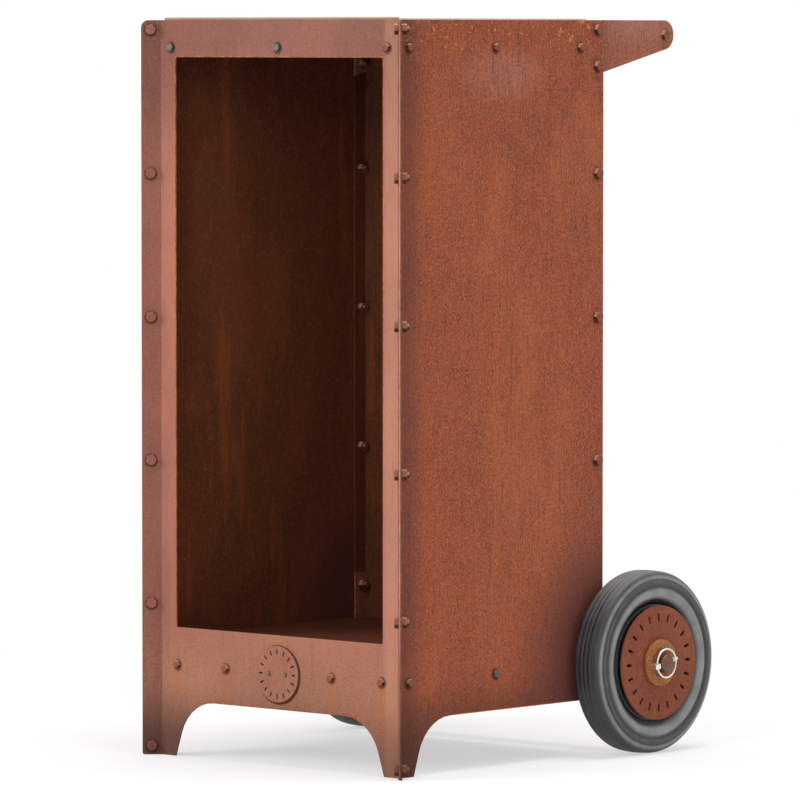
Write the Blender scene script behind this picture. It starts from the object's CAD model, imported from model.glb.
# %% [markdown]
# # A fireside log cart
# The cart is a tall box of folded weathering steel on two front feet and two solid-tyred wheels,
# with a wooden board on top and a cross grip behind. The sheet metal, brackets, bolts and axle come
# in from CAD and only get their finishes here. What is turned, moulded or bent from wire is made
# again with finer shapes, and the small bolts that hold the trays are added.

# %% Load the frame
import math

import bpy
from mathutils import Matrix, Vector


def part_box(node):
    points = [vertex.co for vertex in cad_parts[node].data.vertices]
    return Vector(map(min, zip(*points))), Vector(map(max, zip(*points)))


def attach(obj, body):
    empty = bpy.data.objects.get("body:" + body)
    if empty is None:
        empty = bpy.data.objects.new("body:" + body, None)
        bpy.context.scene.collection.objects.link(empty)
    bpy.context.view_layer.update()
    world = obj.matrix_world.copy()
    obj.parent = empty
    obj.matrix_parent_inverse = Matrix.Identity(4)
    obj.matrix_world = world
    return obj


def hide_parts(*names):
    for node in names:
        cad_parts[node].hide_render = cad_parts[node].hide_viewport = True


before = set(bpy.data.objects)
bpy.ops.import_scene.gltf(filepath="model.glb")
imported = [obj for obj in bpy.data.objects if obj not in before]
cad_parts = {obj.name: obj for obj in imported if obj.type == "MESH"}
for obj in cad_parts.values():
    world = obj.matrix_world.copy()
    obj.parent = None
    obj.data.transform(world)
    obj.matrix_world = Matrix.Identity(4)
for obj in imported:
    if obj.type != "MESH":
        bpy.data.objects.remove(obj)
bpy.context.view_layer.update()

# %% [markdown]
# ## Shared places
# Every length is in metres. The places of the new pieces come from the boxes of the CAD nodes they
# sit on, and a few driving sizes are repeated here: the depth and half width of the box, the opening
# of the front, the height of the arches, the rows of small bolts and the place of the wheel covers.

# %% Shared places
mm = 0.001
NEARLY_NOTHING = 0.01 * mm
SIDES = (("left", -1), ("right", 1))
box_depth, half_width = 412 * mm, 220 * mm
opening_half_width, opening_half_height, opening_centre = 190 * mm, 387 * mm, 563 * mm
arch_height = 76 * mm
top_row, floor_row = 963.5 * mm, 125.5 * mm
sill_inner, sill_outer = 97 * mm, 188 * mm
cover_in, cover_sheet = 24 * mm, 3 * mm

rear_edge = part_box("left_panel")[1].y
front_face = rear_edge - box_depth
cover_low, cover_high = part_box("wheel_cover_right")
axle_y = (cover_low.y + cover_high.y) / 2
axle_z = (cover_low.z + cover_high.z) / 2
wheel_x = cover_high.x - cover_in - cover_sheet
plate_low, plate_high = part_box("round_plate")
plate_middle = (plate_low + plate_high) / 2
print("front face y", round(front_face, 4), "axle", round(axle_y, 4), round(axle_z, 4))

# %% [markdown]
# ## Places of the bolts
# The bolts are needed twice. The small ones, which hold the trays, are built further down, and dirt
# gathers round every bolt in the finish of the sheets, so the places come first. Columns are in
# millimetres, from the middle or, on a side, from the front. The cart is the same on both sides, so
# the dirt needs only the bolts from the middle to the right.

# %% Places of the bolts
front_columns, back_columns, side_columns = (-198, 0, 198), (-130, 0, 130), (18, 191, 364)
SMALL_DIRT, MAIN_DIRT = 6.6 * mm, 8.0 * mm


def bolt_places():
    rusty, bright = [], []
    for x in front_columns:
        row = rusty if x == front_columns[-1] else bright
        row.append(((x * mm, front_face, top_row), (0, -1, 0)))
    for x in (-sill_outer, -sill_inner, sill_inner, sill_outer):
        rusty.append(((x, front_face, floor_row), (0, -1, 0)))
    for x in back_columns:
        rusty.append(((x * mm, rear_edge, floor_row), (0, 1, 0)))
    for side in (-1, 1):
        for y in side_columns:
            for z in (top_row, floor_row):
                newer = side > 0 and y == side_columns[1] and z == floor_row
                row = bright if newer else rusty
                row.append(((side * half_width, front_face + y * mm, z), (side, 0, 0)))
    return rusty, bright


rusty_places, bright_places = bolt_places()
dirty = [(Vector(place), SMALL_DIRT) for place, way in rusty_places + bright_places]
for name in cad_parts:
    if name.startswith(("fin_bolt", "rear_bolt")):
        dirty.append(((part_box(name)[0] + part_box(name)[1]) / 2, MAIN_DIRT))
front_dirty = [(at, reach) for at, reach in dirty if at.x > -mm and at.y < front_face + 30 * mm]
side_dirty = [(at, reach) for at, reach in dirty if at.x > half_width - 20 * mm]
print("bolts that gather dirt:", len(dirty), "on the front", len(front_dirty), "on a side", len(side_dirty))

# %% [markdown]
# ## Writing node trees as Python
# A node tree is easier to read as a formula. A Field is one output of a node, and the ordinary
# operators on Fields add Math nodes. A Graph adds every other kind of node by one method: the node's
# type, the values or links of its sockets, and its settings, which are set first because a setting
# can change which sockets there are.

# %% Fields
class Field:
    def __init__(self, graph, socket):
        self.graph = graph
        self.socket = socket

    def math(self, operation, *values, clamp=False):
        return self.graph.node("ShaderNodeMath", dict(enumerate(values)), operation=operation,
                               use_clamp=clamp)

    def __add__(self, other):
        return self.math("ADD", self, other)

    def __radd__(self, other):
        return self.math("ADD", other, self)

    def __sub__(self, other):
        return self.math("SUBTRACT", self, other)

    def __rsub__(self, other):
        return self.math("SUBTRACT", other, self)

    def __mul__(self, other):
        return self.math("MULTIPLY", self, other)

    def __rmul__(self, other):
        return self.math("MULTIPLY", other, self)

    def __truediv__(self, other):
        return self.math("DIVIDE", self, other)

    def __gt__(self, other):
        return self.math("GREATER_THAN", self, other)

    def __lt__(self, other):
        return self.math("LESS_THAN", self, other)

    def __rtruediv__(self, other):
        return self.math("DIVIDE", other, self)

    def __abs__(self):
        return self.math("ABSOLUTE", self)

    def clamp(self):
        return self.math("ADD", self, 0.0, clamp=True)

    def power(self, other):
        return self.math("POWER", self, other)

    def least(self, other):
        return self.math("MINIMUM", self, other)

    def most(self, other):
        return self.math("MAXIMUM", self, other)


# %% Graphs
def socket_of(sockets, key):
    if isinstance(key, int):
        return sockets[key]
    named = [s for s in sockets if key in (s.identifier, s.name) and s.enabled]
    return named[0]


class Graph:
    def __init__(self, tree):
        self.tree = tree

    def feed(self, socket, value):
        if isinstance(value, Field):
            self.tree.links.new(value.socket, socket)
        else:
            socket.default_value = value

    def node(self, kind, sockets=None, output=0, **settings):
        made = self.tree.nodes.new(kind)
        for name, value in settings.items():
            setattr(made, name, value)
        for key, value in (sockets or {}).items():
            self.feed(socket_of(made.inputs, key), value)
        return Field(self, socket_of(made.outputs, output))

    def parts(self, vector):
        split = self.node("ShaderNodeSeparateXYZ", {0: vector})
        return [Field(self, out) for out in split.socket.node.outputs]


# %% [markdown]
# ## Colours
# Colours are picked as they look on a screen and turned into the linear values that a shader wants.

# %% Colours
def colour(code):
    parts = [int(code[i : i + 2], 16) / 255 for i in (1, 3, 5)]
    linear = [c / 12.92 if c <= 0.04045 else ((c + 0.055) / 1.055) ** 2.4 for c in parts]
    return (*linear, 1.0)


# %% [markdown]
# ## Finishes
# A Finish is the graph of one material. Its patterns read the object's own coordinates, and it knows
# where a surface faces: ny and nz are the surface's direction along Y and Z, and outward is the one
# along X, counted away from the middle of the cart so that both sides can share a finish.

# %% Finishes
class Finish(Graph):
    def __init__(self, name, **shader):
        self.material = bpy.data.materials.new(name)
        self.material.use_nodes = True
        super().__init__(self.material.node_tree)
        self.shader = self.tree.nodes["Principled BSDF"]
        for key, value in shader.items():
            self.shader.inputs[key.replace("_", " ")].default_value = value
        place = self.tree.nodes.new("ShaderNodeTexCoord")
        self.place = Field(self, place.outputs["Object"])
        self.x, self.y, self.z = self.parts(self.place)
        nx, self.ny, self.nz = self.parts(self.node("ShaderNodeNewGeometry", output="Normal"))
        self.outward = nx * self.x.math("SIGN", self.x)

    def noise(self, scale, detail=3.0, roughness=0.55, stretch=(1, 1, 1), shift=(0, 0, 0)):
        at = self.node("ShaderNodeMapping", {"Vector": self.place, "Scale": stretch, "Location": shift})
        return self.node("ShaderNodeTexNoise", {"Vector": at, "Scale": scale, "Detail": detail,
                                                "Roughness": roughness})

    def fade(self, value, start, end, low=0.0, high=1.0):
        return self.node("ShaderNodeMapRange", {"Value": value, "From Min": start, "From Max": end,
                                                "To Min": low, "To Max": high},
                         interpolation_type="SMOOTHSTEP")

    def mix(self, under, over, factor):
        return self.node("ShaderNodeMix", {"A_Color": under, "B_Color": over, "Factor_Float": factor},
                         output="Result_Color", data_type="RGBA")

    def distance(self, place, point):
        return self.node("ShaderNodeVectorMath", {0: place, 1: point}, output="Value", operation="DISTANCE")

    def from_axle(self):
        dy, dz = self.y - axle_y, self.z - axle_z
        return (dy * dy + dz * dz).power(0.5)

    def bump(self, height, strength, distance):
        return self.node("ShaderNodeBump", {"Height": height, "Strength": strength, "Distance": distance})

    def paint(self, **sockets):
        for key, value in sockets.items():
            self.feed(self.shader.inputs[key.replace("_", " ")], value)
        return self.material


print("helpers ready")

# %% [markdown]
# ## Weathering steel
# The sheet has rusted to a dense brown skin. Close up it is upright grain about a millimetre wide,
# with orange flecks and dark pits, and further off it has soft clouds and darker runs. So the skin is
# layers of noise, most of them stretched along Z: wide for the clouds and runs, tight for the streaks
# and dark tears, and tightest for the grain and the flecks. Each layer of the grain is a pattern, the
# two levels between which it fades in, its colour and its strength. The skin is dull, so its
# mirror-like part is kept low.

# %% Weathering steel
ORANGE = colour("#c87238")
ORANGE_DEEP = colour("#86431f")
PIT = colour("#3a211b")
PLUM = colour("#6b3f44")
TEAR = colour("#4a3439")
REDDER = colour("#86382b")
DIRT = colour("#2a1711")


def weathering_steel(name, tones, seed, grain=0.5, flecks=0.2, runs=0.4, extra=None, cut=None,
                     grime=None):
    finish = Finish(name, Roughness=0.8, Specular_IOR_Level=0.18)
    base, light, dark, run = [colour(code) for code in tones]
    finish.clouds = finish.noise(4.5, 5.0, 0.62, shift=(seed, 0, seed))
    finish.mottle = finish.noise(150.0, 4.0, 0.7, stretch=(1, 1, 0.5), shift=(seed, 0, 0))
    finish.quiet = 1.0
    runs_wide = finish.noise(24.0, 4.0, 0.6, stretch=(1, 1, 0.06), shift=(seed, seed, 0))
    streaks = finish.noise(560.0, 3.0, 0.6, stretch=(1, 1, 0.07), shift=(seed, seed, 0))
    tears = finish.noise(210.0, 2.0, 0.5, stretch=(1, 1, 0.05), shift=(seed, 0, 0))
    upright = finish.noise(960.0, 3.0, 0.65, stretch=(1, 1, 0.35), shift=(0, seed, 0))
    speck = finish.noise(1100.0, 2.0, 0.5, shift=(0, 0, seed))
    warm = finish.noise(8.0, 3.0, 0.6, stretch=(1, 1, 0.4), shift=(0, seed, seed))
    tone = finish.mix(dark, base, finish.fade(finish.clouds, 0.3, 0.55))
    tone = finish.mix(tone, light, finish.fade(finish.clouds, 0.5, 0.72) * 0.25)
    tone = finish.mix(tone, run, finish.fade(runs_wide, 0.54, 0.74) * runs)
    tone = finish.mix(tone, PLUM, finish.fade(runs_wide, 0.47, 0.3) * runs * 0.5)
    if extra:
        tone = extra(finish, tone)
    if cut:
        tone = finish.mix(tone, finish.mix(ORANGE, ORANGE_DEEP, finish.fade(finish.mottle, 0.35, 0.6)),
                          cut(finish))
    layers = ((finish.mottle, 0.5, 0.3, run, 0.15), (warm, 0.48, 0.66, light, 0.55),
              (warm, 0.5, 0.32, REDDER, 0.6), (streaks, 0.5, 0.34, run, 0.8),
              (streaks, 0.5, 0.66, light, 0.5), (tears, 0.64, 0.69, TEAR, 0.9),
              (upright, 0.45, 0.66, light, 1.2), (upright, 0.55, 0.34, PIT, 0.7))
    grain = finish.quiet * grain
    for pattern, start, end, over, strength in layers:
        tone = finish.mix(tone, over, finish.fade(pattern, start, end) * grain * strength)
    tone = finish.mix(tone, ORANGE, finish.fade(speck, 0.52, 0.62) * finish.quiet * flecks)
    if grime:
        tone = grime(finish, tone)
    return finish.paint(Base_Color=tone, Roughness=finish.fade(finish.mottle, 0.3, 0.7, 0.62, 0.9),
                        Normal=finish.bump(upright + finish.mottle, 0.3, 0.5 * mm))


# %% [markdown]
# ### Cut edges of the sheets
# A cut face never lies in the plane of its sheet, so its direction gives it away. The flanges stand
# at 45 degrees, where a direction has the same share of X and Y. The rim of the front's opening and
# the underside of its arch are rusted too, a little way into the face.

# %% Masks for cut edges
DIAGONAL = 0.7071


def either(*masks):
    whole = masks[0]
    for mask in masks[1:]:
        whole = whole.most(mask)
    return whole.clamp()


def flange_end(finish):
    return (finish.outward - finish.ny) * DIAGONAL > 0.95


def front_cut(finish):
    cut = either(abs(finish.nz) > 0.3, abs(finish.outward) > 0.9) * 0.85
    beside = (abs(finish.x) - opening_half_width).most(abs(finish.z - opening_centre) - opening_half_height)
    rim = finish.fade(beside, 0.8 * mm, 2.4 * mm, 0.8, 0.0) * finish.fade(finish.z, 0.3, 0.7)
    rim = rim * finish.fade(finish.mottle, 0.3, 0.5, 0.5, 1.0)
    damp = finish.fade(finish.noise(26.0, 4.0, 0.6), 0.42, 0.6)
    under = finish.fade(finish.z, arch_height - 2 * mm, arch_height + 6 * mm, 0.75, 0.0) * damp
    return either(cut, rim, under * (abs(finish.x) < 0.15))


def back_cut(finish):
    return (abs(finish.nz) > 0.3) * 0.7


def side_cut(finish):
    cut = either(abs(finish.nz) > 0.3, abs(finish.ny) > 0.9) * 0.7
    return either(cut, flange_end(finish) * 0.3)


def plate_cut(finish):
    return (1.0 - (abs(finish.outward) > 0.7)) * 0.5


# %% [markdown]
# ### Where each sheet differs
# The front is paler, dims to plum brown at the top and shows more grain low down. The inner walls
# stay dry and dark brown with a few orange tears and quieter grain, the feet are dull from the wet
# floor, and the front edge of the side walls is darker behind its flange. High on each side wall are
# a pale haze and orange chips. Dirt stays behind the round plate and round each bolt, and faint
# orange runs start below the bolts under the opening. A bolt head is rubbed paler on its face and
# top, and is dark below. A washer has one dark ring and a darker rim, and a handle bracket is paler
# along its top and darker where it leaves the box.

# %% Inner walls
INNER = colour("#55301c")


def inner_wall(finish, tone, inside):
    finish.quiet = 1.0 - inside * 0.65
    streak = finish.noise(34.0, 5.0, 0.65, stretch=(1, 1, 0.12), shift=(3, 1, 2))
    wall = finish.mix(INNER, ORANGE_DEEP, finish.fade(streak, 0.53, 0.7) * 0.8)
    wall = finish.mix(wall, colour("#20130e"), finish.fade(finish.z, 0.80, 0.98) * 0.7)
    return finish.mix(tone, wall, inside)


# %% Dirt round the bolts and the plate
def dirt(finish, places):
    here = finish.node("ShaderNodeCombineXYZ", {0: abs(finish.x), 1: finish.y, 2: finish.z})
    gaps = []
    for middle, reach in places:
        away = finish.distance(here, middle - Vector((0, 0, 1.2 * mm)))
        gaps.append(finish.fade(away, reach + 3 * mm, reach))
    return either(*gaps)


def plate_dirt(finish):
    away = finish.distance(finish.place, plate_middle + Vector((1.2 * mm, 0, -1.4 * mm)))
    return finish.fade(away, 41.2 * mm, 39 * mm)


# %% Front panel
def front_extra(finish, tone):
    slant = abs(finish.outward)
    grime = finish.fade(finish.z, 0.18, 0.10) * finish.fade(abs(finish.x - 0.03), 0.17, 0.03)
    tone = finish.mix(tone, colour("#6b4b3d"), grime * finish.fade(finish.clouds, 0.35, 0.6, 0.3, 0.75))
    tone = finish.mix(tone, colour("#6f4a42"), finish.fade(finish.z, 0.75, 0.97) * 0.75)
    grit = finish.fade(finish.noise(800.0, 3.0, 0.7, stretch=(1, 1, 0.7)), 0.42, 0.58)
    low = finish.fade(finish.z, 0.22, 0.12)
    tone = finish.mix(tone, colour("#6a4238"), low * 0.2)
    tone = finish.mix(tone, finish.mix(colour("#7a4c3d"), colour("#c08c66"), grit), low * 0.42)
    tone = finish.mix(tone, colour("#cf9874"), finish.fade(finish.x, 0.188, 0.2) * (finish.ny < -0.9) * 0.3)
    tone = finish.mix(tone, colour("#5c3a36"), (slant > 0.5) * (slant < 0.85) * 0.35)
    return inner_wall(finish, tone, finish.ny > 0.9)


def front_grime(finish, tone):
    beside = abs(abs(finish.x) - sill_inner).least(abs(abs(finish.x) - sill_outer))
    below = finish.fade(finish.z, floor_row + 1.5 * mm, floor_row - 4.5 * mm)
    run = finish.fade(beside, 0.011, 0.002) * below * finish.fade(finish.z, 0.04, 0.10)
    tone = finish.mix(tone, colour("#a5613a"), run * finish.fade(finish.mottle, 0.35, 0.6, 0.25, 0.55))
    wet = finish.fade(finish.z, 0.11, 0.02) * finish.fade(finish.x, 0.05, 0.2, 0.8, 0.5)
    tone = finish.mix(tone, colour("#46302b"), wet)
    worn = finish.fade(finish.mottle, 0.35, 0.6, 0.25, 0.6) * finish.fade(finish.z, 0.1, 0.3)
    tone = finish.mix(tone, colour("#d29c7d"), flange_end(finish) * worn)
    tone = finish.mix(tone, DIRT, plate_dirt(finish) * (finish.ny < -0.9) * 0.85)
    return finish.mix(tone, DIRT, dirt(finish, front_dirty) * 0.6)


# %% Side panels
def side_extra(finish, tone):
    across = (finish.y - front_face - 0.205) / 0.10
    upward = (finish.z - 0.927) / 0.045
    haze = finish.fade(across * across + upward * upward, 1.0, 0.0)
    haze = haze * finish.fade(finish.clouds, 0.3, 0.55, 0.4, 1.0)
    tone = finish.mix(tone, colour("#b9857a"), haze * 0.6)
    high = finish.fade(finish.z, 0.80, 1.0) * finish.fade(finish.mottle, 0.4, 0.6)
    tone = finish.mix(tone, colour("#50332d"), high * 0.3)
    tone = finish.mix(tone, PLUM, finish.fade(finish.y, rear_edge - 0.06, rear_edge) * 0.3)
    return inner_wall(finish, tone, finish.outward < -0.9)


def side_grime(finish, tone):
    chips = finish.noise(120.0, 3.0, 0.6, shift=(2, 5, 1))
    high = finish.fade(finish.z, 0.94, 0.99, 0.15, 1.0)
    tone = finish.mix(tone, colour("#cf8238"), finish.fade(chips, 0.62, 0.67) * high * 0.8)
    near = finish.fade(finish.y, front_face + 0.06, front_face + 0.01) * (finish.outward > -0.9)
    tone = finish.mix(tone, colour("#563330"), near * 0.55)
    tone = finish.mix(tone, colour("#4b302a"), finish.fade(finish.z, 0.14, 0.076) * 0.35)
    tone = finish.mix(tone, colour("#33221e"), finish.fade(finish.z, 0.12, 0.03) * 0.6)
    by_wheel = finish.fade(finish.from_axle(), 0.26, 0.12)
    uneven = finish.fade(finish.clouds, 0.35, 0.6, 0.25, 0.75)
    tone = finish.mix(tone, colour("#5c3836"), by_wheel * uneven)
    edge = finish.fade(finish.z, arch_height - 0.5 * mm, arch_height + 2.5 * mm, 0.8, 0.0)
    edge = edge * finish.fade(finish.y, front_face + 0.10, front_face + 0.12)
    tone = finish.mix(tone, ORANGE, edge * finish.fade(finish.mottle, 0.35, 0.55, 0.3, 1.0))
    return finish.mix(tone, DIRT, dirt(finish, side_dirty) * 0.65)


# %% Back panel, bolts, washers and brackets
def back_extra(finish, tone):
    return inner_wall(finish, tone, either(finish.ny < -0.5, finish.outward < -0.5))


def bolt_extra(finish, tone):
    flat = abs(finish.ny).most(abs(finish.outward)) > 0.95
    on_flange = abs(finish.outward + finish.ny) * DIAGONAL > 0.95
    flank = abs(finish.outward - finish.ny) * DIAGONAL > 0.95
    tone = finish.mix(tone, colour("#92543f"), flat * 0.75)
    tone = finish.mix(tone, colour("#ad7163"), on_flange * 0.65)
    tone = finish.mix(tone, colour("#84483a"), flank * 0.6)
    tone = finish.mix(tone, colour("#d0a088"), finish.fade(finish.nz, 0.1, 0.5) * 0.9)
    tone = finish.mix(tone, colour("#1d100c"), finish.fade(finish.nz, 0.0, -0.4) * 0.9)
    return finish.mix(tone, colour("#37221c"), finish.fade(finish.z, 0.12, 0.02) * 0.6)


def washer_extra(finish, tone):
    radius = finish.from_axle()
    tone = finish.mix(tone, colour("#4e2c1b"), finish.fade(abs(radius - 0.0185), 0.0022, 0.001) * 0.9)
    return finish.mix(tone, colour("#7a4828"), finish.fade(radius, 0.0215, 0.0245) * 0.6)


def bracket_extra(finish, tone):
    haze = finish.fade(finish.z, 0.955, 0.99) * finish.fade(finish.mottle, 0.3, 0.6, 0.4, 1.0)
    tone = finish.mix(tone, colour("#b58c7e"), haze * 0.55)
    shade = finish.fade(abs(finish.y - rear_edge - 0.006), 0.012, 0.003)
    return finish.mix(tone, colour("#6b4a48"), shade * 0.6)


# %% [markdown]
# ### One finish for each kind of sheet
# The four tones are the skin, its lighter clouds, its darker clouds and the runs. The number after
# them shifts the patterns: the round plate shares the front's clouds, and the others have their own.

# %% Steel finishes
front_steel = weathering_steel("front_steel", ("#a36857", "#bc8168", "#925c4f", "#764a48"), 1.7,
                               grain=0.2, flecks=0.04, runs=0.35, extra=front_extra, cut=front_cut,
                               grime=front_grime)
side_steel = weathering_steel("side_steel", ("#8e442f", "#b8653f", "#7b3d31", "#5c3837"), 4.2,
                              grain=0.75, flecks=0.2, runs=0.5, extra=side_extra, cut=side_cut,
                              grime=side_grime)
back_steel = weathering_steel("back_steel", ("#924d34", "#b0643f", "#7d4132", "#5f3a33"), 7.9,
                              grain=0.65, flecks=0.2, runs=0.5, extra=back_extra, cut=back_cut)
plate_steel = weathering_steel("plate_steel", ("#976350", "#b07c60", "#85573f", "#6b463a"), 1.7,
                               grain=0.25, flecks=0.05, runs=0.3)
tray_steel = weathering_steel("tray_steel", ("#5d3524", "#7a4428", "#452a20", "#3b2823"), 2.4)
bracket_steel = weathering_steel("bracket_steel", ("#925443", "#b77558", "#7b443a", "#5f3a35"), 5.5,
                                 grain=0.7, flecks=0.2, runs=0.5, extra=bracket_extra, cut=plate_cut)
bolt_steel = weathering_steel("bolt_steel", ("#5f3228", "#8c5542", "#4a2921", "#3b231e"), 3.1,
                              grain=0.35, flecks=0.06, extra=bolt_extra)
cover_steel = weathering_steel("cover_steel", ("#7f4434", "#a7633f", "#643829", "#4d2f28"), 9.3,
                               grain=0.4, flecks=0.12)
washer_steel = weathering_steel("washer_steel", ("#a4663a", "#cb925c", "#7d4a2c", "#5a3524"), 6.1,
                                grain=0.6, flecks=0.4, extra=washer_extra)
print("steel finishes made")

# %% [markdown]
# ## Bare and zinc-plated steel
# The axle is a plain bar that has dulled to brown. The linch pins are bright with zinc, and a few
# of the small bolts are newer than the rest and still show a duller, mottled cold grey.

# %% Bar steel and zinc
def metal(name, tone, stain, amount, roughness):
    finish = Finish(name, Metallic=1.0, Roughness=roughness)
    mottle = finish.noise(500.0, 3.0, 0.6)
    patches = finish.noise(90.0, 3.0, 0.6)
    dulled = finish.fade(patches, 0.45, 0.65) * amount
    matt = finish.fade(mottle, 0.3, 0.7, roughness - 0.08, roughness + 0.12)
    return finish.paint(Base_Color=finish.mix(tone, stain, dulled.clamp()), Roughness=matt,
                        Metallic=1.0 - dulled * 0.8, Normal=finish.bump(mottle, 0.15, 0.1 * mm))


zinc = metal("zinc", colour("#eceeee"), colour("#b4b6b4"), 0.4, 0.3)
dull_zinc = metal("dull_zinc", colour("#6c6d6c"), colour("#554a42"), 0.9, 0.48)
bar_steel = metal("bar_steel", colour("#7d6353"), colour("#6a3d29"), 1.0, 0.5)

# %% [markdown]
# ## Wood
# The top board is glued from staves. Each stave has its own shade and shift of grain, which comes
# from the whole number of its place across the board. Its front edge is darker than its side edges.
# The grip is one turned bar, so its one stave is wider than the bar.

# %% Wood
def wood(name, pale, deep, along, across, stave):
    finish = Finish(name, Roughness=0.6)
    line = [finish.x, finish.y, finish.z][across] / stave
    number = line.math("FLOOR", line)
    shade = finish.node("ShaderNodeTexWhiteNoise", {"W": number}, output="Value", noise_dimensions="1D")
    stretch = [1.0, 1.0, 1.0]
    stretch[along] = 0.06
    shifted = finish.node("ShaderNodeVectorMath", {0: finish.place, 1: finish.node(
        "ShaderNodeCombineXYZ", {0: shade * 3.0, 1: shade * 5.0, 2: shade})}, operation="ADD")
    at = finish.node("ShaderNodeMapping", {"Vector": shifted, "Scale": stretch})
    rings = finish.node("ShaderNodeTexNoise", {"Vector": at, "Scale": 160.0, "Detail": 5.0, "Roughness": 0.6,
                                               "Distortion": 0.4})
    pores = finish.node("ShaderNodeTexNoise", {"Vector": at, "Scale": 900.0, "Detail": 2.0})
    look = finish.mix(pale, deep, finish.fade(rings, 0.35, 0.7) * 0.6)
    look = finish.mix(look, deep, finish.fade(shade, 0.3, 1.0) * 0.35)
    look = finish.mix(look, colour("#8a6a45"), finish.fade(pores, 0.6, 0.75) * 0.35)
    joint = abs(line - number - 0.5)
    look = finish.mix(look, colour("#7b5f40"), finish.fade(joint, 0.488, 0.5) * 0.7)
    look = finish.mix(look, colour("#865e45"), (finish.ny < -0.5) * 0.65)
    look = finish.mix(look, colour("#f7efe2"), (finish.outward > 0.5) * 0.85)
    return finish.paint(Base_Color=look, Roughness=finish.fade(rings, 0.3, 0.7, 0.5, 0.72),
                        Normal=finish.bump(rings + 0.5 * pores, 0.2, 0.3 * mm))


board_wood = wood("board_wood", colour("#dac4a0"), colour("#b5905f"), 0, 1, 0.041)
grip_wood = wood("grip_wood", colour("#dcc193"), colour("#b98f5c"), 0, 2, 0.5)

# %% [markdown]
# ## Rubber and moulded parts
# The tyre is solid rubber: near black, with a soft sheen and a pale dusty bloom on the raised parts,
# which are found by their distance from the axle. The rim is a satin moulding, the bushes are nylon.

# %% Rubber and plastics
def rubber(name):
    finish = Finish(name, Specular_IOR_Level=0.7)
    dust = finish.noise(40.0, 3.0, 0.5)
    fine = finish.noise(800.0, 3.0, 0.6)
    scuff = finish.noise(300.0, 4.0, 0.7, stretch=(3.0, 1.0, 1.0))
    radius = finish.from_axle()
    bloom = finish.fade(dust, 0.3, 0.7, 0.7, 1.0)
    lip = finish.fade(abs(radius - 0.0945), 0.009, 0.003)
    shoulder = finish.fade(abs(radius - 0.1165), 0.004, 0.001)
    hollow = either(finish.fade(abs(radius - 0.1043), 0.003, 0.0015),
                    finish.fade(abs(radius - 0.113), 0.0016, 0.0006))
    look = finish.mix(colour("#262628"), colour("#4a4a4b"), finish.fade(dust, 0.4, 0.7) * 0.5)
    look = finish.mix(look, colour("#a2a2a1"), either(lip * 0.62, shoulder * 0.5) * bloom)
    look = finish.mix(look, colour("#151517"), hollow * 0.8)
    look = finish.mix(look, colour("#252527"), finish.fade(fine, 0.5, 0.68) * 0.3)
    tread = finish.fade(radius, 0.1195, 0.1225)
    look = finish.mix(look, colour("#1a1a1e"), tread * 0.6)
    look = finish.mix(look, colour("#77777b"), finish.fade(scuff, 0.6, 0.72) * (0.2 + tread * 0.25))
    look = finish.mix(look, colour("#0f0f10"), finish.fade(radius, 0.086, 0.081) * 0.85)
    look = finish.mix(look, colour("#a0a0a0"), finish.fade(finish.nz, 0.4, 1.0) * bloom * 0.45)
    return finish.paint(Base_Color=look, Roughness=finish.fade(dust, 0.3, 0.7, 0.3, 0.42) + tread * 0.25,
                        Normal=finish.bump(fine, 0.2, 0.1 * mm))


def plastic(name, tone, other):
    finish = Finish(name, Roughness=0.5)
    grain = finish.noise(1200.0, 2.0, 0.5)
    wear = finish.noise(40.0, 4.0, 0.6)
    return finish.paint(Base_Color=finish.mix(tone, other, finish.fade(wear, 0.4, 0.7) * 0.5),
                        Roughness=finish.fade(wear, 0.3, 0.7, 0.42, 0.6),
                        Normal=finish.bump(grain, 0.1, 0.1 * mm))


tyre_rubber = rubber("tyre_rubber")
rim_plastic = plastic("rim_plastic", colour("#333537"), colour("#44464a"))
bush_nylon = plastic("bush_nylon", colour("#dcdad2"), colour("#c5c2b6"))

# %% [markdown]
# ## Finishes onto the CAD nodes
# The nodes of one kind share the start of their name, so the longest start that fits picks the
# finish. An axle bracket, for one, starts like the axle, but its own start is longer.

# %% Finishes onto the CAD nodes
FINISH_BY_START = {"front_panel": front_steel, "left_panel": side_steel, "right_panel": side_steel,
                   "back_panel": back_steel, "floor_tray": tray_steel, "top_tray": tray_steel,
                   "top_board": board_wood, "handle_bracket": bracket_steel, "axle_bracket": bracket_steel,
                   "handle_grip": grip_wood, "fin_bolt": bolt_steel, "rear_bolt": bolt_steel,
                   "grip_bolt": bolt_steel, "tyre": tyre_rubber, "rim": rim_plastic, "bush": bush_nylon,
                   "wheel_cover": cover_steel, "spacer": bar_steel, "washer": washer_steel,
                   "round_plate": plate_steel, "linch": zinc, "axle": bar_steel}
for name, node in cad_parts.items():
    start = max((key for key in FINISH_BY_START if name.startswith(key)), key=len)
    node.data.materials.clear()
    node.data.materials.append(FINISH_BY_START[start])
print("finishes on", len(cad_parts), "nodes")

# %% [markdown]
# ## Turned pieces
# A tyre is a profile turned round the axle. The profile is a list of radius and place along the
# axle, and each pair of neighbouring stations is joined by a ring of faces.

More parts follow.
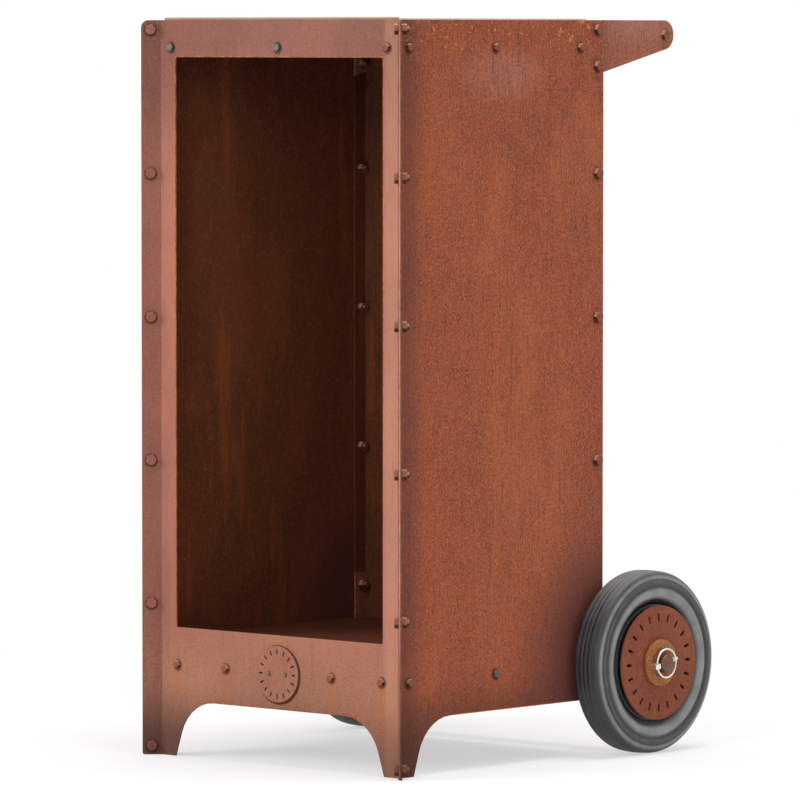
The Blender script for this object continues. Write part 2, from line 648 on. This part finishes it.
# %% Turned pieces
def turned(name, profile, centre, sides, outward=1):
    corners, faces = [], []
    for radius, along in profile:
        for k in range(sides):
            angle = 2 * math.pi * k / sides
            corners.append((centre[0] + outward * along, centre[1] + radius * math.cos(angle),
                            centre[2] + radius * math.sin(angle)))
    rings = len(profile)
    for i in range(rings):
        for k in range(sides):
            a, b = i * sides, ((i + 1) % rings) * sides
            face = (a + k, a + (k + 1) % sides, b + (k + 1) % sides, b + k)
            faces.append(face if outward > 0 else face[::-1])
    mesh = bpy.data.meshes.new(name)
    mesh.from_pydata(corners, [], faces)
    mesh.shade_smooth()
    made = bpy.data.objects.new(name, mesh)
    bpy.context.scene.collection.objects.link(made)
    return made


def dressed(made, finish, body, slot, *nodes):
    made.data.materials.clear()
    made.data.materials.append(finish)
    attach(made, body)
    if nodes:
        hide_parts(*nodes)
    print(made.name, "faces", len(made.data.polygons))


# %% [markdown]
# ### Tyres
# The tread has six fine moulded grooves, two near each shoulder and one on each side of the middle,
# and rounds over into the wall. The wall has a raised band between two hollows, then a rounded lip,
# and dips to the rim. Each edge beside a hollow catches its own line of light. The profile is a list
# of millimetres for one side, and the other side is its mirror image.

# %% Tyres
TYRE_RADIUS, CROWNING, GROOVE_DEPTH = 125.0, 0.0035, 0.6


def tyre_profile():
    dip = [(80.0, 14.0), (81.6, 16.2), (84.0, 18.8), (87.0, 21.0), (90.0, 22.8), (92.4, 24.0)]
    lip = [(94.4, 24.7), (96.2, 25.0), (98.4, 25.0), (100.2, 24.6), (101.4, 23.9)]
    inner_hollow = [(102.2, 23.4), (103.4, 23.3), (103.6, 23.8), (104.4, 23.8), (104.6, 23.3), (106.2, 23.3)]
    band = [(106.8, 24.1), (107.4, 24.4), (111.4, 24.0), (112.0, 23.7)]
    outer_hollow = [(112.4, 22.9), (113.4, 22.7), (113.9, 23.2)]
    wall = dip + lip + inner_hollow + band + outer_hollow
    for k in range(5, 15):
        angle = math.pi / 2 * k / 14
        wall.append((105.0 + 19.2 * math.sin(angle), 24.6 - 9.4 * (1 - math.cos(angle))))
    for groove in (14.3, 11.4, 3.4):
        crown = TYRE_RADIUS - CROWNING * groove * groove
        floor_of_groove = crown - GROOVE_DEPTH
        wall += [(crown, groove + 0.7), (floor_of_groove, groove + 0.3), (floor_of_groove, groove - 0.3),
                 (crown, groove - 0.7)]
    mirrored = [(radius, -along) for radius, along in reversed(wall)]
    return [(radius * mm, along * mm) for radius, along in wall + mirrored]


for end, side in SIDES:
    tyre = turned(f"tyre_{end}_rubber", tyre_profile(), (side * wheel_x, axle_y, axle_z), 144, side)
    dressed(tyre, tyre_rubber, f"wheel_{end}", "tyre_rubber", f"tyre_{end}")

# %% [markdown]
# ### Grip and washers
# The grip is a turned bar with eased ends, and each washer is a thick disc with broken corners.
# Both are profiles turned round their own line, like the tyres.

# %% Grip and washers
def bar_profile(radius, low, high, easing, steps=5):
    points = [(NEARLY_NOTHING, low)]
    for k in range(steps + 1):
        angle = math.pi / 2 * k / steps
        points.append((radius - easing * (1 - math.sin(angle)), low + easing * (1 - math.cos(angle))))
    for k in range(steps + 1):
        angle = math.pi / 2 * k / steps
        points.append((radius - easing * (1 - math.cos(angle)), high - easing * (1 - math.sin(angle))))
    return points + [(NEARLY_NOTHING, high)]


grip_low, grip_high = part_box("handle_grip")
grip_middle = (grip_low + grip_high) / 2
grip = turned("grip_bar", bar_profile(16 * mm, grip_low.x, grip_high.x, 1.5 * mm),
              (0, grip_middle.y, grip_middle.z), 72)
dressed(grip, grip_wood, "chassis", "grip_wood", "handle_grip")

axle_bore = 12.8 * mm
face, thick, out = 27.3 * mm, 5 * mm, 32 * mm
ring = [(axle_bore, face), (out - 0.5 * mm, face), (out, face + 0.5 * mm), (out, face + thick - 0.7 * mm),
        (out - 0.7 * mm, face + thick), (axle_bore + 0.5 * mm, face + thick),
        (axle_bore, face + thick - 0.5 * mm)]
for end, side in SIDES:
    washer = turned(f"washer_{end}_disc", ring, (side * wheel_x, axle_y, axle_z), 96, side)
    dressed(washer, washer_steel, "chassis", "bright_rust", f"washer_{end}")

# %% [markdown]
# ## Pieces that repeat: Geometry Nodes
# Bolts, slots and ribs repeat by a rule, so a node tree makes them. The tree has named inputs for
# its sizes. Its result is copied to a plain mesh, because an instance or a live modifier would be
# lost when the cart is exported.

# %% A tree with named inputs
class Rule(Graph):
    def __init__(self, name, **sizes):
        super().__init__(bpy.data.node_groups.new(name, "GeometryNodeTree"))
        sockets = self.tree.interface
        sockets.new_socket("Geometry", in_out="INPUT", socket_type="NodeSocketGeometry")
        sockets.new_socket("Geometry", in_out="OUTPUT", socket_type="NodeSocketGeometry")
        self.given = {}
        for key, value in sizes.items():
            kind = "NodeSocketInt" if isinstance(value, int) else "NodeSocketFloat"
            self.given[sockets.new_socket(key, in_out="INPUT", socket_type=kind).identifier] = value
        entry = self.tree.nodes.new("NodeGroupInput")
        self.start = Field(self, entry.outputs["Geometry"])
        self.size = {key: Field(self, entry.outputs[key]) for key in sizes}

    def join(self, *parts):
        made = self.tree.nodes.new("GeometryNodeJoinGeometry")
        for part in reversed(parts):
            self.tree.links.new(part.socket, made.inputs[0])
        return Field(self, made.outputs[0])

    def point(self, x=0.0, y=0.0, z=0.0):
        return self.node("ShaderNodeCombineXYZ", {0: x, 1: y, 2: z})

    def moved(self, part, shift):
        return self.node("GeometryNodeTransform", {"Geometry": part, "Translation": shift})

    def end(self, part, finish):
        whole = self.node("GeometryNodeRealizeInstances", {"Geometry": part})
        done = self.node("GeometryNodeSetMaterial", {"Geometry": whole, "Material": finish})
        leave = self.tree.nodes.new("NodeGroupOutput")
        self.feed(leave.inputs["Geometry"], done)

    def mesh(self, name, seed_mesh=None, place=None, bevel=0.0):
        host = bpy.data.objects.new(name + "_host", seed_mesh or bpy.data.meshes.new(name))
        bpy.context.scene.collection.objects.link(host)
        grower = host.modifiers.new("rule", "NODES")
        grower.node_group = self.tree
        for identifier, value in self.given.items():
            grower[identifier] = value
        if bevel:
            soft = host.modifiers.new("soft_edges", "BEVEL")
            soft.width, soft.segments, soft.limit_method = bevel, 2, "ANGLE"
            soft.angle_limit = math.radians(40)
        ready = host.evaluated_get(bpy.context.evaluated_depsgraph_get())
        made = bpy.data.objects.new(name, bpy.data.meshes.new_from_object(ready))
        bpy.data.objects.remove(host)
        bpy.context.scene.collection.objects.link(made)
        if place:
            made.data.transform(place)
        return made


# %% [markdown]
# ### Small bolts
# The trays hang on small hexagon bolts. Points carry the way each bolt faces as an attribute, and
# one bolt is put on every point, turned by a seeded random angle as a fitter leaves them. The same
# rule makes the rusty bolts and, with other points, the few that still show dull zinc.

# %% Small bolt tree
def bolt_rule(finish, **sizes):
    rule = Rule("small_bolts", **sizes)
    size = rule.size
    corner = size["flats"] / math.sqrt(3)

    def hexagon(height, low, chamfer):
        block = rule.node("GeometryNodeMeshCylinder", {"Vertices": 6, "Side Segments": 5, "Radius": corner,
                                                       "Depth": height}, output="Mesh")
        x, y, z = rule.parts(rule.node("GeometryNodeInputPosition", output="Position"))
        end = z > height * 0.45
        inward = rule.point(x * end * -chamfer, y * end * -chamfer, 0.0)
        shrink = rule.node("GeometryNodeSetPosition", {"Geometry": block, "Offset": inward})
        return rule.moved(shrink, rule.point(z=low + height * 0.5))

    def rod(length, low):
        bar = rule.node("GeometryNodeMeshCylinder", {"Vertices": 20, "Radius": size["shank"] * 0.5,
                                                     "Depth": length}, output="Mesh")
        return rule.moved(bar, rule.point(z=low + length * 0.5))

    under = 0.0 - size["stack"] - size["nut"]
    bolt = rule.join(hexagon(size["head"], 0.0, 0.16), hexagon(size["nut"], under, 0.0),
                     rod(size["tail"] - under, under - size["tail"]))
    way = rule.node("GeometryNodeInputNamedAttribute", {"Name": "facing"}, data_type="FLOAT_VECTOR")
    turn = rule.node("FunctionNodeAlignRotationToVector", {"Vector": way}, axis="Z")
    spin = rule.node("FunctionNodeRandomValue", {"Min": 0.0, "Max": 6.28, "Seed": size["seed"]},
                     output="Value", data_type="FLOAT")
    around = rule.node("FunctionNodeAxisAngleToRotation", {"Axis": (0, 0, 1), "Angle": spin})
    turned_round = rule.node("FunctionNodeRotateRotation", {"Rotation": turn, "Rotate By": around},
                             rotation_space="LOCAL")
    bolts = rule.node("GeometryNodeInstanceOnPoints", {"Points": rule.start, "Instance": bolt,
                                                       "Rotation": turned_round})
    rule.end(bolts, finish)
    return rule


# %% Points for the small bolts
def points(places):
    mesh = bpy.data.meshes.new("bolt_places")
    mesh.from_pydata([place for place, way in places], [], [])
    ways = mesh.attributes.new("facing", "FLOAT_VECTOR", "POINT")
    for i, (place, way) in enumerate(places):
        ways.data[i].vector = way
    return mesh


tray_bolt = dict(flats=10 * mm, head=4 * mm, shank=6 * mm, stack=4.3 * mm, nut=5 * mm, tail=2.5 * mm,
                 seed=4)
plate_bolt = dict(flats=5.5 * mm, head=2 * mm, shank=3 * mm, stack=6.6 * mm, nut=2.4 * mm,
                  tail=1.2 * mm, seed=2)
plate_spread = 30 * mm
plate_places = [((side * plate_spread / 2, plate_low.y, plate_middle.z), (0, -1, 0)) for side in (-1, 1)]
SMALL_BOLTS = (("tray_bolts", tray_bolt, rusty_places, bolt_steel, "weathered_bolt"),
               ("tray_bolts_dull", tray_bolt, bright_places, dull_zinc, "zinc_wire"),
               ("plate_bolts", plate_bolt, plate_places, dull_zinc, "zinc_wire"))
for name, size, places, finish, slot in SMALL_BOLTS:
    small = bolt_rule(finish, **size).mesh(name, points(places))
    dressed(small, finish, "chassis", slot)

# %% [markdown]
# ### Wheel covers and the round plate
# A cover is a disc with a ring of round-ended slots and a hole for the axle, and the round plate on
# the front is the same thing, smaller, with two holes for its bolts. Curves draw the outlines, Fill
# Curve turns them into a face with holes, and the face is pulled out to the thickness of the sheet.

# %% Pierced disc tree
def disc_rule(finish, **sizes):
    rule = Rule("pierced_disc", **sizes)
    size = rule.size
    edge = rule.node("GeometryNodeCurvePrimitiveCircle", {"Resolution": 160, "Radius": size["radius"]})
    hole = rule.node("GeometryNodeCurvePrimitiveCircle", {"Resolution": 48, "Radius": size["bore"]})
    row = rule.node("GeometryNodeMeshLine", {"Count": size["holes"], "Start Location": rule.point(
        x=0.0 - size["spread"] * 0.5 * (size["holes"] - 1.0)), "Offset": rule.point(x=size["spread"])})
    holes = rule.node("GeometryNodeInstanceOnPoints", {"Points": row, "Instance": hole})
    slot = rule.node("GeometryNodeCurvePrimitiveQuadrilateral", {"Width": size["slot_length"],
                                                                 "Height": size["slot_width"]})
    slot = rule.node("GeometryNodeFilletCurve", {"Curve": slot, "Radius": size["slot_width"] * 0.49,
                                                 "Count": 5}, mode="POLY")
    ring = rule.node("GeometryNodeCurvePrimitiveCircle", {"Resolution": size["slots"],
                                                          "Radius": size["ring"]})
    number = rule.node("GeometryNodeInputIndex")
    turn = rule.point(z=number * (2 * math.pi) / size["slots"])
    slots = rule.node("GeometryNodeInstanceOnPoints", {"Points": ring, "Instance": slot, "Rotation": turn})
    slots = rule.node("GeometryNodeRealizeInstances", {"Geometry": slots})
    face = rule.node("GeometryNodeFillCurve", {"Curve": rule.join(edge, holes, slots)}, mode="TRIANGLES")
    pulled = rule.node("GeometryNodeExtrudeMesh", {"Mesh": face, "Offset": (0, 0, 1),
                                                   "Offset Scale": size["sheet"], "Individual": False})
    back = rule.node("GeometryNodeFlipFaces", {"Mesh": face})
    whole = rule.node("GeometryNodeMergeByDistance", {"Geometry": rule.join(pulled, back),
                                                      "Distance": NEARLY_NOTHING})
    rule.end(whole, finish)
    return rule


def out_along_x(side, along):
    turn = Matrix.Rotation(side * math.pi / 2, 4, "Y")
    return Matrix.Translation((side * (wheel_x + along), axle_y, axle_z)) @ turn


cover_sizes = dict(radius=78 * mm, bore=axle_bore, holes=1, spread=0.0, sheet=cover_sheet, slots=20,
                   ring=62 * mm, slot_width=4 * mm, slot_length=11 * mm)
for end, side in SIDES:
    rule = disc_rule(cover_steel, **cover_sizes)
    disc = rule.mesh(f"cover_{end}_disc", place=out_along_x(side, cover_in), bevel=0.35 * mm)
    dressed(disc, cover_steel, f"wheel_{end}", "wheel_cover", f"wheel_cover_{end}")

plate_sizes = dict(radius=38 * mm, bore=1.9 * mm, holes=2, spread=plate_spread, sheet=2 * mm, slots=16,
                   ring=30 * mm, slot_width=2.4 * mm, slot_length=7 * mm)
upright = Matrix.Translation((0, plate_high.y, plate_middle.z)) @ Matrix.Rotation(math.pi / 2, 4, "X")
plate = disc_rule(plate_steel, **plate_sizes).mesh("round_plate_disc", place=upright, bevel=0.3 * mm)
dressed(plate, plate_steel, "chassis", "weathered_sheet", "round_plate")

# %% [markdown]
# ### Rims
# A rim is a turned channel with a hub, stiffened by six ribs on each side. Its profile is half a
# list, in millimetres, and the mirror image of it. The turned shape goes into the tree as its
# geometry, and the tree adds the ribs round it.

# %% Rim tree
def rim_rule(finish):
    rule = Rule("rim", ribs=6, rib_start=22 * mm, rib_end=74 * mm, rib_width=5 * mm, rib_reach=18 * mm)
    size = rule.size
    length = size["rib_end"] - size["rib_start"]
    block = rule.point(size["rib_reach"], length, size["rib_width"])
    rib = rule.node("GeometryNodeMeshCube", {"Size": block}, output="Mesh")
    rib = rule.moved(rib, rule.point(y=size["rib_start"] + length * 0.5))
    line = rule.node("GeometryNodeMeshLine", {"Count": size["ribs"], "Offset": (0, 0, 0)})
    number = rule.node("GeometryNodeInputIndex")
    ribs = rule.node("GeometryNodeInstanceOnPoints", {
        "Points": line, "Instance": rib, "Rotation": rule.point(x=number * (2 * math.pi) / size["ribs"])})
    rule.end(rule.join(rule.start, ribs), finish)
    return rule


rim_half = [(79.4, 17), (78.9, 17.4), (74.4, 17.4), (73.7, 16.6), (73.4, 5), (72.2, 4), (25.5, 4),
            (24.2, 5), (24, 23.2), (23.5, 23.7), (16.1, 23.7)]
rim_other_half = [(radius, -along) for radius, along in reversed(rim_half)]
rim_profile = [rim_other_half[-1], *rim_half, *rim_other_half[:-1]]
for end, side in SIDES:
    channel = turned(f"rim_{end}_channel", [(r * mm, a * mm) for r, a in rim_profile], (0, 0, 0), 96)
    rim = rim_rule(rim_plastic).mesh(f"rim_{end}_moulding", channel.data,
                                     Matrix.Translation((side * wheel_x, axle_y, axle_z)))
    bpy.data.objects.remove(channel)
    dressed(rim, rim_plastic, f"wheel_{end}", "rim", f"rim_{end}")

# %% [markdown]
# ### Rings of the linch pins
# A ring is round wire bent to an open hoop, whose two ends meet in the eye of the pin's head. An
# arc carries a small circle along it. Both rings lean by ten degrees, as their pins do.

# %% Ring tree
def ring_rule(finish):
    rule = Rule("pin_ring", middle=19.5 * mm, wire=2.6 * mm)
    hoop = rule.node("GeometryNodeCurveArc", {"Resolution": 120, "Radius": rule.size["middle"],
                                              "Start Angle": math.radians(182),
                                              "Sweep Angle": math.radians(356)})
    section = rule.node("GeometryNodeCurvePrimitiveCircle", {"Resolution": 18,
                                                             "Radius": rule.size["wire"] * 0.5})
    wire = rule.node("GeometryNodeCurveToMesh", {"Curve": hoop, "Profile Curve": section, "Fill Caps": True})
    rule.end(wire, finish)
    return rule


pin_out, pin_to_ring = 35.8 * mm, 4.8 * mm
lean = Matrix.Rotation(math.radians(10), 4, "X")
flat_to_side = Matrix(((0, 0, 1, 0), (1, 0, 0, 0), (0, 1, 0, 0), (0, 0, 0, 1)))
for end, side in SIDES:
    outward = Matrix.Rotation(math.pi if side < 0 else 0, 4, "Z")
    outward = outward @ Matrix.Translation((pin_out + pin_to_ring, 0, 0))
    place = Matrix.Translation((side * wheel_x, axle_y, axle_z)) @ outward @ lean @ flat_to_side
    hoop = ring_rule(zinc).mesh(f"pin_ring_{end}_wire", place=place)
    hoop.data.shade_smooth()
    dressed(hoop, zinc, f"pin_ring_{end}", "zinc_wire", f"linch_ring_{end}")

# %% [markdown]
# ## Floor, lights and camera
# A white floor under a white sky keeps the object's own soft shadow. Light Path rays let the camera
# see both as white while they light the cart less. The sky lights everything evenly, and the key
# lamp on the left makes the front face the lighter one. A weaker lamp in front on the right grazes
# the side so that its bolts stand out, and one overhead lights the board and the tops of the wheels.

# %% Stage
floor_mesh = bpy.data.meshes.new("floor")
reach, below_feet = 60.0, 0.5 * mm
floor_mesh.from_pydata([(-reach, -reach, 0), (reach, -reach, 0), (reach, reach, 0), (-reach, reach, 0)], [],
                       [(0, 1, 2, 3)])
floor = bpy.data.objects.new("floor", floor_mesh)
bpy.context.scene.collection.objects.link(floor)
floor.location.z = -below_feet

floor_finish = Finish("floor_white", Roughness=1.0)
floor_finish.shader.inputs["Specular IOR Level"].default_value = 0.0
rays = floor_finish.tree.nodes.new("ShaderNodeLightPath")
seen = Field(floor_finish, rays.outputs["Is Camera Ray"])
mirrored = Field(floor_finish, rays.outputs["Is Glossy Ray"])
away = (floor_finish.x * floor_finish.x + floor_finish.y * floor_finish.y).power(0.5)
glow = floor_finish.node("ShaderNodeEmission", {"Color": (1, 1, 1, 1), "Strength": 1.0})
join = floor_finish.node("ShaderNodeMixShader", {
    0: (seen + mirrored).clamp() * floor_finish.fade(away, 0.5, 1.5, 0.55, 1.0),
    1: Field(floor_finish, floor_finish.shader.outputs[0]), 2: glow})
floor_finish.paint(Base_Color=(0.96, 0.96, 0.96, 1))
floor_finish.feed(floor_finish.tree.nodes["Material Output"].inputs["Surface"], join)
floor_mesh.materials.append(floor_finish.material)

# %% Sky
world = bpy.data.worlds.new("studio")
bpy.context.scene.world = world
world.use_nodes = True
sky = Graph(world.node_tree)
sky.tree.nodes.clear()
rays = sky.tree.nodes.new("ShaderNodeLightPath")
plain = sky.node("ShaderNodeBackground", {"Color": (1, 1, 1, 1), "Strength": 0.72})
white = sky.node("ShaderNodeBackground", {"Color": (1, 1, 1, 1), "Strength": 1.0})
shown = Field(sky, rays.outputs["Is Camera Ray"]) + Field(sky, rays.outputs["Is Glossy Ray"])
shown = (shown + Field(sky, rays.outputs["Is Transmission Ray"])).clamp()
both = sky.node("ShaderNodeMixShader", {0: shown, 1: plain, 2: white})
output = sky.tree.nodes.new("ShaderNodeOutputWorld")
sky.feed(output.inputs["Surface"], both)


# %% Lamps
def lamp(name, place, aim, size, power):
    data = bpy.data.lights.new(name, "AREA")
    data.shape = "DISK"
    data.size = size
    data.energy = power
    made = bpy.data.objects.new(name, data)
    bpy.context.scene.collection.objects.link(made)
    made.location = place
    made.rotation_euler = (Vector(aim) - Vector(place)).to_track_quat("-Z", "Y").to_euler()


lamp("key", (-2.4, -3.9, 2.4), (0, 0, 0.5), 2.4, 85.0)
lamp("front", (1.3, -4.4, 2.6), (0, 0, 0.5), 1.6, 30.0)
lamp("top", (0.6, 0.2, 3.8), (0, 0, 0.5), 2.0, 62.0)

# %% [markdown]
# ## Camera
# The photograph was taken from about nine metres with a long lens, about as high as the top of the
# cart and to the right of the opening. Place and lens come from fitting its corners and bolts.

# %% Camera
turn, tilt, distance = math.radians(42.228), math.radians(3.205), 8.8704
shift_right, shift_down = 24.95 * mm, 16.31 * mm
film, lens_in_pixels, frame_in_pixels = 36.0, 6515.92, 800
ahead = Vector((-math.sin(turn) * math.cos(tilt), math.cos(turn) * math.cos(tilt), -math.sin(tilt)))
right = Vector((math.cos(turn), math.sin(turn), 0))
upward = right.cross(ahead)
middle = Vector((0, front_face + box_depth / 2, 0.5))
data = bpy.data.cameras.new("camera")
data.sensor_width = film
data.lens = lens_in_pixels / frame_in_pixels * film
data.clip_end = 200.0
camera = bpy.data.objects.new("camera", data)
bpy.context.scene.collection.objects.link(camera)
camera.matrix_world = Matrix.LocRotScale(
    middle - ahead * distance + right * shift_right - upward * shift_down,
    Matrix((right, upward, -ahead)).transposed().to_quaternion(), None)
bpy.context.scene.camera = camera
bpy.context.scene.view_settings.view_transform = "Standard"
